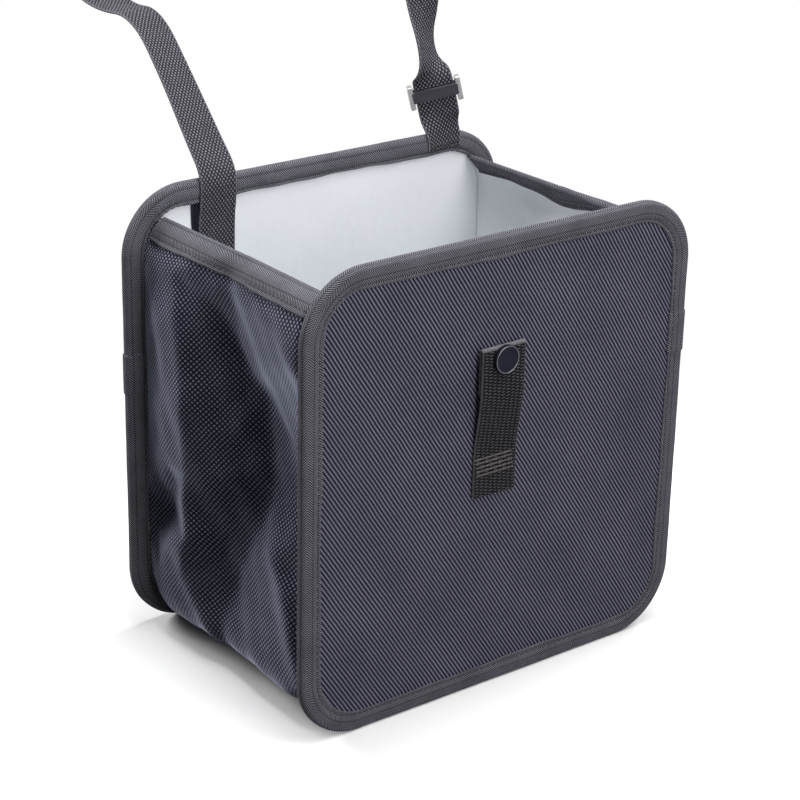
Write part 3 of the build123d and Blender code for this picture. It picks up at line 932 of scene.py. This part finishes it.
# Rows of stitches at the strap's roots, by the x and y of their middle and their heights
ROOT_ROWS = ((-60, 70.9, (160, 163, 166, 169)), (74, 69.1, (213.4, 215.2)))

# The narrow strip beside the strap's left root, by its x, its y and its lowest and highest point
DARK_STRIP_PLACE = (-71.7, 71.3, 150, 211)

BOX_SIGNS = 2 * np.array(list(np.ndindex(2, 2, 2))) - 1
BOX_FACES = ((0, 1, 3, 2), (4, 6, 7, 5), (0, 4, 5, 1), (2, 3, 7, 6), (0, 2, 6, 4), (1, 5, 7, 3))


def add_slider():
    """Metal slider: bright rounded cheeks, a dark bar in front of the strap and two rails behind it."""
    cheek_thickness, cheek_length, cheek_depth = 2.6, 12, 4.6
    bar_length, rail_length, bar_thickness = 6, 2, 1.4
    side_room, face_room = 0.6, 0.3
    rail_at = 3
    rounding = 0.45
    ahead = Vector(SLIDER_AHEAD).normalized()
    side = Vector(turned(SLIDER_TURN))
    side = (side - ahead * side.dot(ahead)).normalized()
    axes = Matrix((side, ahead, side.cross(ahead))).transposed().to_4x4()
    place = Matrix.Translation(SLIDER_CENTRE) @ axes
    cheek_at = STRAP_WIDTH / 2 + side_room + cheek_thickness / 2
    bar_at = WEBBING / 2 + face_room + bar_thickness / 2
    cheek = (cheek_thickness, cheek_length, cheek_depth)
    bar = (2 * cheek_at, bar_length, bar_thickness)
    rail = (2 * cheek_at, rail_length, bar_thickness)
    plated, dark = 0, 1
    boxes = [((sign * cheek_at, 0, 0), cheek, plated) for sign in (-1, 1)]
    boxes.append(((0, 0, bar_at), bar, dark))
    boxes += [((0, sign * rail_at, -bar_at), rail, plated) for sign in (-1, 1)]
    points, faces, kinds = [], [], []
    for middle, size, kind in boxes:
        base = len(points)
        corners = np.array(middle) + BOX_SIGNS * np.array(size) / 2
        points += [place @ Vector(corner) for corner in corners]
        faces += [[base + k for k in face] for face in BOX_FACES]
        kinds += [kind] * len(BOX_FACES)
    piece = add_mesh("slider_metal", points, faces, PLATED, "slider")
    piece.data.materials.append(SLIDER_BAR)
    piece.data.polygons.foreach_set("material_index", kinds)
    soft_edges = piece.modifiers.new("rounding", "BEVEL")
    soft_edges.width = rounding * MM
    soft_edges.segments = 3
    soft_edges.harden_normals = True
    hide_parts("strap_slider")
    return piece


def add_strap(slider):
    """The hanging strap, a flat cord from root to root, with its root stitches and the strip beside it."""
    root_length, root_radius = 2.2, 0.35
    root_places = np.arange(-8.4, 9, 2.4)
    strip_points = 20
    path = spline_points([place for place, _ in STRAP_ROUTE])
    sides = spline_points([side for _, side in STRAP_ROUTE])
    strap = ribbon("strap_webbing", path / MM, sides, STRAP_WIDTH, WEBBING, STRAP, "bin")
    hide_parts("hanging_strap")

    strip_x, strip_y, low, high = DARK_STRIP_PLACE
    strip = [(strip_x, strip_y, z) for z in np.linspace(low, high, strip_points)]
    ribbon(
        "strap_dark_strip", strip, (1, 0, 0), DARK_STRIP_WIDTH, DARK_STRIP_THICKNESS, DARK_STRIP,
        "bin",
    )

    middles = [(x + off, y, z) for x, y, heights in ROOT_ROWS for z in heights for off in root_places]
    add_stitches(
        "strap_root_stitches", middles, (1, 0, 0), (0, -1, 0), root_length, root_radius,
        DARK_THREAD,
    )


# Tab and snap

# How far the middle of the tab's webbing stands off the panel: at its foot, at the snap, and folded behind
TAB_LIES = 0.675
TAB_STANDS = 4.3
TAB_BEHIND = 2.95

# Heights on the tab: its foot, its ramp, its top fold and its stitches
TAB_FOOT_Z = 97.5
RAMP_FROM_Z, RAMP_TO_Z = 116, 150
TAB_FOLD_Z = 169.225
TAB_STITCH_ROWS = (116.6, 114.7, 112.6, 110.6, 108.6)


def add_tab():
    """The front tab: sewn foot, ramp out to the snap, and its top end folded back."""
    folded_length = 20
    stitch_places = np.arange(-10.9, 10.0, 1.75)
    stitch_length, stitch_radius = 1.9, 0.42
    row_shift, row_slant = 0.3, 0.06
    fold_middle = (TAB_STANDS + TAB_BEHIND) / 2
    fold_radius = (TAB_STANDS - TAB_BEHIND) / 2
    heights = np.linspace(TAB_FOOT_Z, RAMP_TO_Z, 43)
    stands = TAB_LIES + (TAB_STANDS - TAB_LIES) * smooth(RAMP_FROM_Z, RAMP_TO_Z, heights)
    profile = list(zip(stands, heights))
    profile += [(TAB_STANDS, z) for z in np.linspace(RAMP_TO_Z + 1, TAB_FOLD_Z, 14)]
    for angle in np.linspace(0, math.pi, 10)[1:-1]:
        stand = fold_middle + fold_radius * math.cos(angle)
        profile.append((stand, TAB_FOLD_Z + fold_radius * math.sin(angle)))
    profile += [(TAB_BEHIND, z) for z in np.linspace(TAB_FOLD_Z, TAB_FOLD_Z - folded_length, 12)]
    centres = [(TAB_X, PANEL_FACE - stand, z) for stand, z in profile]
    tab = ribbon("tab_webbing", centres, (1, 0, 0), TAB_WIDTH, WEBBING, TAB, None)
    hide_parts("front_tab")
    hinge_y = PANEL_FACE - TAB_LIES
    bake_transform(tab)

    face_y = hinge_y - WEBBING / 2
    middles = []
    for row, z in enumerate(TAB_STITCH_ROWS):
        middles += [(TAB_X + place + row_shift * row, face_y, z) for place in stitch_places]
    add_stitches(
        "tab_stitches", middles, (1, 0, row_slant), (0, -1, 0), stitch_length, stitch_radius,
        TAB_THREAD,
    )


def lathe(name, profile, material):
    """A turned piece on the snap's axis, from radii and stands off the front panel."""
    angles = np.linspace(0, math.tau, 73)
    radius, stand = (part[:, None] for part in np.array(profile).T)
    x = TAB_X + radius * np.cos(angles)
    z = SNAP_Z + radius * np.sin(angles)
    points = np.stack([x, PANEL_FACE - stand + 0 * angles, z], -1)
    return add_grid(name, points, points[..., [0, 2]], material, "snap_head", True)


def add_snap():
    """The snap's cap: a flat painted face in a thin rolled rim."""
    seat, top, radius = 4.9, 7.5, 6.6
    bead_at, bead_down, bead_radius = 6.2, 0.26, 0.25
    post_radius, post_end = 1.5, 1.85
    face = [(0, top - 0.5), (3, top - 0.45), (5.0, top - 0.38), (5.75, top - 0.4), (5.95, top - 0.3)]
    bead = []
    for angle in np.linspace(math.pi, -0.1, 9):
        stand = top - bead_down + bead_radius * math.sin(angle)
        bead.append((bead_at + bead_radius * math.cos(angle), stand))
    side = [(radius - 0.05, top - 0.6), (radius, top - 1.2), (radius, seat + 0.5)]
    under = [(radius - 0.25, seat + 0.1), (radius - 0.5, seat), (post_radius, seat)]
    post = [(post_radius, post_end), (0, post_end)]
    lathe("snap_cap_face", face, CAP)
    lathe("snap_cap_bead", face[-1:] + bead, CAP_RIM)
    skirt = lathe("snap_cap_skirt", bead[-1:] + side + under + post, CAP)
    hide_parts("snap_cap")


# The dressed bin

# Where each binding's lap starts, by its distance along the edge
FRONT_LAP = 110
BACK_LAP = 458.5

cloth = (CLOTH, PANEL, "panel_fabric")
lining = (FILM, LINING, "lining")
add_sheet("front_panel_cloth", "front_panel_fabric", PANEL_FACE, -1, panel_lift(3), *cloth)
add_sheet("back_panel_cloth", "back_panel_fabric", BACK_PANEL_FACE, 1, panel_lift(5), *cloth)
add_sheet("front_lining_film", "front_lining", FRONT_LINING, 1, lining_lift(7), *lining)
add_sheet("back_lining_film", "back_lining", BACK_LINING, -1, lining_lift(9), *lining)
add_binding("front_binding_tape", "front_binding", FRONT_FACE, 1, FRONT_LAP, 11)
add_binding("back_binding_tape", "back_binding", BACK_FACE, -1, BACK_LAP, 13)
add_gusset()
add_rim("left_rim_tape", "left_rim_binding", False, 15)
add_rim("right_rim_tape", "right_rim_binding", True, 17)
add_strap(add_slider())
add_tab()
add_snap()
solids = {"front_board": BOARD, "back_board": BOARD}
solids |= dict.fromkeys(("snap_socket", "snap_stud", "snap_rivet"), SNAP_STEEL)
for node, material in solids.items():
    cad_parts[node].data.materials.clear()
    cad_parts[node].data.materials.append(material)


# Camera, light and floor

IMAGE_WIDTH = 800
FOCAL_PIXELS = 2315.77
SENSOR_WIDTH = 36
VIEW_TARGET = (-2.42, 3.35, 117.88)
VIEW_DISTANCE = 1092.35
VIEW_AZIMUTH = math.radians(-38.09)
VIEW_ELEVATION = math.radians(22.37)
VIEW_ROLL = math.radians(1.30)

# Lamps, with their direction from the bin, then distance and size in metres, and watts
LAMPS = (
    ("front_softbox", (0.16, -0.52, 0.84), 0.85, 0.6, 4.6),
    ("left_softbox", (-0.10, -0.95, 0.30), 1.2, 0.5, 5.8),
    ("rear_softbox", (-0.36, 0.86, 0.38), 1.4, 0.6, 20),
    ("right_softbox", (0.80, 0.12, 0.58), 1.2, 0.5, 7),
    ("top_softbox", (-0.05, 0.0, 1.0), 0.8, 0.4, 5.0),
)
AMBIENT_COLOUR = (0.93, 0.96, 1.0, 1)
AMBIENT_STRENGTH = 0.06
WHITE = (1, 1, 1, 1)


def add_camera():
    """The camera, which looks down on the bin's front and left side."""
    data = bpy.data.cameras.new("camera")
    data.sensor_width = SENSOR_WIDTH
    data.lens = FOCAL_PIXELS / IMAGE_WIDTH * SENSOR_WIDTH
    data.clip_end = 20
    camera = link("camera", data)
    turns = ((VIEW_AZIMUTH, "Z"), (math.pi / 2 - VIEW_ELEVATION, "X"), (VIEW_ROLL, "Z"))
    place = Matrix.Translation(Vector(VIEW_TARGET) * MM)
    for angle, axis in turns:
        place @= Matrix.Rotation(angle, 4, axis)
    camera.matrix_world = place @ Matrix.Translation((0, 0, VIEW_DISTANCE * MM))
    bpy.context.scene.camera = camera


def add_lamp(name, direction, distance, size, power):
    """A soft square lamp that faces the bin's middle from a direction."""
    data = bpy.data.lights.new(name, "AREA")
    data.size = size
    data.energy = power
    lamp = link(name, data)
    towards = Vector(direction).normalized()
    lamp.location = Vector((0, 0, HEIGHT / 2 * MM)) + towards * distance
    lamp.rotation_euler = towards.to_track_quat("Z", "Y").to_euler()


def add_world():
    """Faint light from all sides, in front of a white backdrop."""
    world = bpy.data.worlds.new("studio")
    bpy.context.scene.world = world
    world.use_nodes = True
    sky = Nodes(world.node_tree)
    ambient = sky.tree.nodes["Background"]
    sky.wired(ambient, AMBIENT_COLOUR, AMBIENT_STRENGTH)
    backdrop = sky.node("ShaderNodeBackground")
    sky.wired(backdrop, WHITE)
    sky.show(sky.shown(), ambient, backdrop, "World Output")


def add_floor():
    """Pale paper that keeps the bin's shadow, turns white away from it and throws little light back."""
    reach = 6
    fade_from, fade_to = 0.14, 0.40
    paper_dark, paper_light, unlit = (0.94, 0.94, 0.94), (0.97, 0.97, 0.97), (0.16, 0.16, 0.16)
    corners = [(-reach, -reach, 0), (reach, -reach, 0), (reach, reach, 0), (-reach, reach, 0)]
    mesh = bpy.data.meshes.new("floor")
    mesh.from_pydata(corners, [], [(0, 1, 2, 3)])
    s = Shader("floor_paper")
    shown = s.shown()
    paper = s.mix(s.noise(30, 4.0, uv=False), paper_dark, paper_light)
    mesh.materials.append(s.finish(s.mix(shown, unlit, paper), 0.9, {"Specular IOR Level": 0.0}))
    away = s.node("ShaderNodeVectorMath", operation="LENGTH")
    s.wired(away, s.node("ShaderNodeTexCoord").outputs["Object"])
    far = s.product(shown, s.step(away.outputs["Value"], fade_from, fade_to))
    s.show(far, s.surface, s.node("ShaderNodeEmission"), "Material Output")
    link("floor", mesh)


add_camera()
for lamp in LAMPS:
    add_lamp(*lamp)
add_world()
add_floor()
bpy.context.scene.view_settings.view_transform = "Standard"
